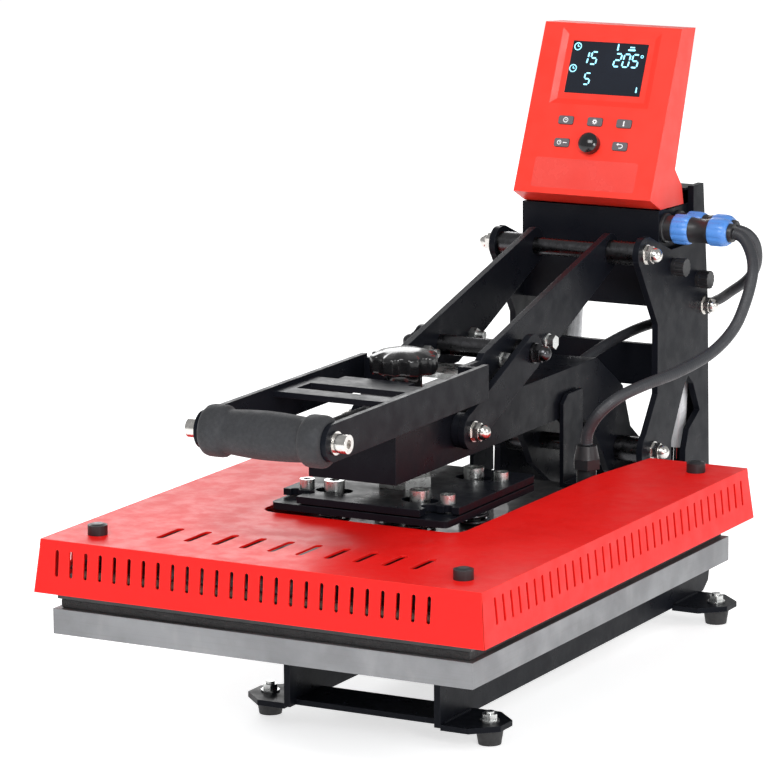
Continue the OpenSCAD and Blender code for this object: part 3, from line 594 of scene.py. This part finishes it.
# ---------------------------------------------------------------- foam grip, pad and insulation
low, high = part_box("grip")
grip_mid = (low + high) / 2
half = (high.x - low.x) / 2 * 1000
end_roll = [(5.4, -half), (17, -half), (19.6, -half + 0.6), (21.2, -half + 2.4), (21.9, -half + 5),
            (22, -half + 9), (21.9, -41.5), (21.5, -39.6), (20.6, -38.2), (19.4, -37.2)]
waist = [(18.3 + 2.1 * math.cos(math.radians(x * 2.3)), x) for x in range(-36, 37, 3)]
profile = end_roll + waist + [(r, -x) for r, x in reversed(end_roll)]


def pressed(t, r, d):
    """Soft dents in the moulded foam."""
    if r < 8:
        return r
    spot = Vector((d * 0.03, 2.2 * math.cos(t), 2.2 * math.sin(t)))
    return r + 0.28 * noise.noise(spot) + 0.06 * noise.noise(spot * 9)


grip = piece("grip_foam_sleeve", lathe(grip_mid, (1, 0, 0), profile, 96, True, pressed),
             grip_foam, "lever", 50)
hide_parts("grip")


def soft_slab(name, node, mat, body, edge, wobble, step):
    """A sheet in the room of its CAD node, in millimetres: rounded rim, cut edges a little uneven."""
    lo, hi = (corner * 1000 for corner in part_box(node))
    w, d, thick = hi.x - lo.x, hi.y - lo.y, hi.z - lo.z
    nx, ny = int(w // step), int(d // step)
    outline = [(i / nx, 0) for i in range(nx)] + [(1, i / ny) for i in range(ny)]
    outline += [(1 - i / nx, 1) for i in range(nx)] + [(0, 1 - i / ny) for i in range(ny)]
    rim = [(edge, 0.0), (edge * 0.3, edge * 0.3), (0.0, edge)]
    levels = rim + [(inset, thick - z) for inset, z in reversed(rim)]
    verts, faces = [], []
    for inset, z in levels:
        for u, v in outline:
            x, y = lo.x + u * w, lo.y + v * d
            uneven = 0.5 + 0.5 * noise.noise(Vector((x * 0.21, y * 0.21, z * 0.6)))
            push = inset + wobble * uneven
            x += push if u == 0 else -push if u == 1 else 0
            y += push if v == 0 else -push if v == 1 else 0
            verts.append(Vector((x, y, lo.z + z)) / 1000)
    n = len(outline)
    for i in range(len(levels) - 1):
        for k in range(n):
            q = (k + 1) % n
            faces.append((i * n + k, i * n + q, (i + 1) * n + q, (i + 1) * n + k))
    faces.append(tuple(range(n - 1, -1, -1)))
    faces.append(tuple((len(levels) - 1) * n + k for k in range(n)))
    obj = piece(name, (verts, faces), mat, body, 60)
    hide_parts(node)


soft_slab("platen_sponge", "foam_pad", pad_sponge, "frame", 1.3, 0.7, 3.0)
soft_slab("felt_sheet", "insulation_mat", felt, "heat_platen", 1.6, 1.2, 4.0)

# ---------------------------------------------------------------- coil springs under the mounting plates
low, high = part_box("mount_springs")
spring_mid = (low + high) / 2 * 1000
SEAT_R = 14
reach_x = (high.x - low.x) / 2 * 1000 - SEAT_R
reach_y = (high.y - low.y) / 2 * 1000 - SEAT_R
coils = []
# Wire and coil radius in millimetres, turns, points a turn, and the shares of closed end and open middle.
WIRE, COIL, TURNS, POINTS, CLOSED, OPEN = 1.9, 11.9, 5.4, 28, 0.16, 0.68
bottom, top = low.z * 1000 + WIRE, high.z * 1000 - WIRE
for sx in (-1, 1):
    for sy in (-1, 1):
        path = []
        for i in range(int(TURNS * POINTS) + 1):
            share = i / (TURNS * POINTS)
            opened = min(1, max(0, (share - CLOSED) / OPEN))
            t = 2 * math.pi * TURNS * share + sx * 0.7
            rise = bottom + 0.5 * WIRE * min(1, share / CLOSED) + (top - bottom - WIRE) * opened
            rise += 0.5 * WIRE * max(0, (share - (1 - CLOSED)) / CLOSED)
            x = sx * reach_x + COIL * math.cos(t)
            y = spring_mid.y + sy * reach_y + COIL * math.sin(t)
            path.append(Vector((x, y, rise)) / 1000)
        coils.append(swept(path, WIRE / 1000, 12))
springs = piece("coil_springs", joined(*coils), dark_steel, "heat_platen", 60)
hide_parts("mount_springs")

# ---------------------------------------------------------------- sloping panel: figures, key marks, label
TILT = math.radians(24.2)
PANEL_TOP = at(0, 674, 564)
DOWN = Vector((0, -math.sin(TILT), -math.cos(TILT)))
OUT = Vector((0, -math.cos(TILT), math.sin(TILT)))


def on_panel(u, v, w):
    return PANEL_TOP + (Vector((u, 0, 0)) + DOWN * v + OUT * w) / 1000


def bar(u0, v0, u1, v1, wide, lift, height):
    """A stroke with pointed ends, as a segment display has."""
    d = Vector((u1 - u0, v1 - v0))
    length = d.length
    d /= length
    n = Vector((-d.y, d.x)) * wide / 2
    tip = min(wide / 2, length / 3)
    a, b = Vector((u0, v0)), Vector((u1, v1))
    outline = [a, a + d * tip + n, b - d * tip + n, b, b - d * tip - n, a + d * tip - n]
    return prism([tuple(p) for p in outline], lift, height, on_panel)


def ring(u, v, r, wide, lift, height, start=0, sweep=360, steps=28):
    outer, inner = [], []
    for i in range(steps + 1):
        t = math.radians(start + sweep * i / steps)
        outer.append((u + (r + wide / 2) * math.cos(t), v + (r + wide / 2) * math.sin(t)))
        inner.append((u + (r - wide / 2) * math.cos(t), v + (r - wide / 2) * math.sin(t)))
    verts = [on_panel(*p, w) for w in (lift, lift + height) for p in outer + inner]
    m = steps + 1
    faces = []
    for i in range(steps):
        a, b, c, d = i, i + 1, m + i + 1, m + i
        top = [k + 2 * m for k in (a, b, c, d)]
        faces += [(d, c, b, a), tuple(top), (a, b, top[1], top[0]), (c, d, top[3], top[2])]
    for i in (0, steps):
        faces.append((i, m + i, 3 * m + i, 2 * m + i))
    return verts, faces


def disc(u, v, r, lift, height, steps=20):
    outline = [(u + r * math.cos(2 * math.pi * i / steps), v + r * math.sin(2 * math.pi * i / steps))
               for i in range(steps)]
    return prism(outline, lift, height, on_panel)


SEGMENTS = {"0": "abcdef", "1": "bc", "2": "abged", "5": "afgcd"}


def figure(digit, u, v, w, h, wide, lift, height):
    """A seven-segment figure with its top left corner at (u, v), leaning a little."""
    lean = 0.1 * h
    g = wide * 0.35
    left_top, left_mid, left_low = (u + lean, v), (u + lean / 2, v + h / 2), (u, v + h)
    points = {
        "a": ((left_top[0] + g, v), (left_top[0] + w - g, v)),
        "g": ((left_mid[0] + g, v + h / 2), (left_mid[0] + w - g, v + h / 2)),
        "d": ((left_low[0] + g, v + h), (left_low[0] + w - g, v + h)),
        "f": ((left_top[0], v + g), (left_mid[0], v + h / 2 - g)),
        "e": ((left_mid[0], v + h / 2 + g), (left_low[0], v + h - g)),
        "b": ((left_top[0] + w, v + g), (left_mid[0] + w, v + h / 2 - g)),
        "c": ((left_mid[0] + w, v + h / 2 + g), (left_low[0] + w, v + h - g)),
    }
    return [bar(*points[k][0], *points[k][1], wide, lift, height) for k in SEGMENTS[digit]]


def clock(u, v, r, wide, lift, height):
    hand = wide * 0.9
    return [ring(u, v, r, wide, lift, height), bar(u, v + wide * 0.4, u, v - r * 0.62, hand, lift, height),
            bar(u - wide * 0.3, v, u + r * 0.55, v, hand, lift, height)]


def thermometer(u, v, h, wide, lift, height):
    return [disc(u, v + h * 0.34, h * 0.16, lift, height),
            bar(u, v + h * 0.3, u, v - h * 0.5, wide, lift, height)]


# Lift above the panel's face and thickness of the screen's marks and of the keys' marks, in millimetres.
S_LIFT, S_THICK = -2.42, 0.12
K_LIFT, K_THICK = 1.19, 0.09
marks = []
for digit, u in (("1", -27.5), ("5", -18.5)):
    marks += figure(digit, u, 26.5, 6, 12, 1.5, S_LIFT, S_THICK)
for digit, u in (("2", 6), ("0", 15), ("5", 24)):
    marks += figure(digit, u, 27.0, 6.2, 12.5, 1.5, S_LIFT, S_THICK)
marks += figure("5", -21.5, 47.5, 5.6, 11, 1.4, S_LIFT, S_THICK)
marks += clock(-33.5, 22, 3.4, 0.9, S_LIFT, S_THICK) + clock(-34.5, 43.5, 3.4, 0.9, S_LIFT, S_THICK)
marks += thermometer(8, 20.6, 6.6, 1.5, S_LIFT, S_THICK) + thermometer(34.5, 61, 5.5, 1.2, S_LIFT, S_THICK)
marks += [bar(18.5, 22.8, 26.5, 22.8, 1.7, S_LIFT, S_THICK), bar(20, 20.2, 25.5, 20.2, 1.2, S_LIFT, S_THICK)]
marks.append(ring(34.2, 28.6, 1.3, 0.6, S_LIFT, S_THICK))
piece("screen_figures", joined(*marks), screen_glow, "frame", 30)



def gear(u, v):
    teeth = []
    for i in range(8):
        c, s = math.cos(math.radians(45 * i)), math.sin(math.radians(45 * i))
        teeth.append(bar(u + 1.5 * c, v + 1.5 * s, u + 2.7 * c, v + 2.7 * s, 0.85, K_LIFT, K_THICK))
    return [ring(u, v, 1.35, 0.9, K_LIFT, K_THICK)] + teeth


def back_arrow(u, v):
    head = [(u - 3.6, v - 1.7), (u - 1.6, v - 3.1), (u - 1.6, v - 0.3)]
    return [ring(u + 1.2, v, 1.7, 0.7, K_LIFT, K_THICK, -90, 180),
            bar(u - 2.4, v - 1.7, u + 1.4, v - 1.7, 0.7, K_LIFT, K_THICK),
            bar(u - 1.0, v + 1.7, u + 1.4, v + 1.7, 0.7, K_LIFT, K_THICK),
            prism(head, K_LIFT, K_THICK, on_panel)]


def clock_and_bar(u, v):
    return clock(u - 2.4, v, 1.9, 0.6, K_LIFT, K_THICK) + [bar(u + 1.4, v, u + 5.6, v, 0.8, K_LIFT, K_THICK)]


KEY_MARKS = (
    clock(-30, 95, 2.2, 0.7, K_LIFT, K_THICK), gear(0, 95), thermometer(30, 95, 5.4, 1.1, K_LIFT, K_THICK),
    clock_and_bar(-30, 117), back_arrow(30, 117))
for number, mark in enumerate(KEY_MARKS, 1):
    piece(f"key_mark_{number}", joined(*mark), legend_white, f"key_{number}", 30)


def rounded(u0, v0, u1, v1, r, steps=8):
    """A rectangle's outline with round corners."""
    out = []
    centres = (u1 - r, v1 - r), (u0 + r, v1 - r), (u0 + r, v0 + r), (u1 - r, v0 + r)
    for quarter, (cu, cv) in enumerate(centres):
        for i in range(steps + 1):
            t = math.radians(90 * quarter + 90 * i / steps)
            out.append((cu + r * math.cos(t), cv + r * math.sin(t)))
    return out


piece("blank_label", prism(rounded(-54, 132, 52, 161, 2.5), 0, 0.14, on_panel),
      clear_label, "frame", 30)


# ---------------------------------------------------------------- welds
WELD_STEP, WELD_PITCH, WELD_END = 0.55, 2.6, 2.5


def weld_bead(name, a, b, size):
    """A fillet weld from a to b, in millimetres, with the ripples of its passes."""
    start, stop = at(*a), at(*b)
    length = (stop - start).length * 1000
    steps = int(length / WELD_STEP)
    path = [start.lerp(stop, i / steps) for i in range(steps + 1)]

    def ripple(along, t):
        lumps = noise.noise(Vector((along * 90, size, a[1] * 0.13)))
        end = min(1, along * 1000 / WELD_END, (length - along * 1000) / WELD_END)
        swell = abs(math.sin(along * 1000 * math.pi / WELD_PITCH))
        return size / 1000 * (0.80 + 0.16 * swell + 0.12 * lumps) * (0.45 + 0.55 * max(0, end) ** 0.5)

    piece(name, swept(path, ripple, 14), black_powder, "frame", 70)


plate_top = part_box("foot_plates")[1].z * 1000
for tag, sx in (("right", 1), ("left", -1)):
    x = sx * SIDE
    for part, y in (("front", 182), ("rear", 651)):
        weld_bead(f"weld_foot_{part}_{tag}", (x, y, plate_top), (x, y + 50, plate_top), 2.2)

# ---------------------------------------------------------------- floor and light
s = Shader("floor_paper", (0.9, 0.9, 0.9), 0.8)
s.set("Emission Color", (1, 1, 1, 1)).set("Emission Strength", 0.66)
FLOOR_R, FLOOR_GAP = 20, 0.0002
floor = piece("Floor", ([(-FLOOR_R, -FLOOR_R, 0), (FLOOR_R, -FLOOR_R, 0), (FLOOR_R, FLOOR_R, 0),
                         (-FLOOR_R, FLOOR_R, 0)], [(0, 1, 2, 3)]), s.mat)
floor.location.z = CAD_BOX[0].z - FLOOR_GAP

world = bpy.data.worlds.new("World")
bpy.context.scene.world = world
world.use_nodes = True
world.node_tree.nodes["Background"].inputs["Color"].default_value = (1, 1, 1, 1)
world.node_tree.nodes["Background"].inputs["Strength"].default_value = 0.38


def softbox(name, place, aim, width, height, power):
    lamp = bpy.data.lights.new(name, "AREA")
    lamp.shape = "RECTANGLE"
    lamp.size, lamp.size_y, lamp.energy = width, height, power
    obj = bpy.data.objects.new(name, lamp)
    bpy.context.scene.collection.objects.link(obj)
    obj.location = place
    obj.rotation_mode = "QUATERNION"
    obj.rotation_quaternion = (Vector(aim) - Vector(place)).to_track_quat("-Z", "Y")


softbox("light_back_left", (-2.2, 2.6, 1.6), (-0.1, -0.1, 0.15), 2.0, 1.4, 32)
softbox("light_front_top", (0.3, -1.9, 2.2), (0, 0.1, 0.3), 1.6, 1.0, 42)
softbox("light_right", (2.4, 0.1, 1.3), (0, 0.1, 0.25), 1.2, 1.6, 12)
softbox("light_camera_side", (2.1, -1.9, 1.2), (0, 0.2, 0.25), 0.7, 0.9, 26)
bpy.context.scene.view_settings.view_transform = "Standard"
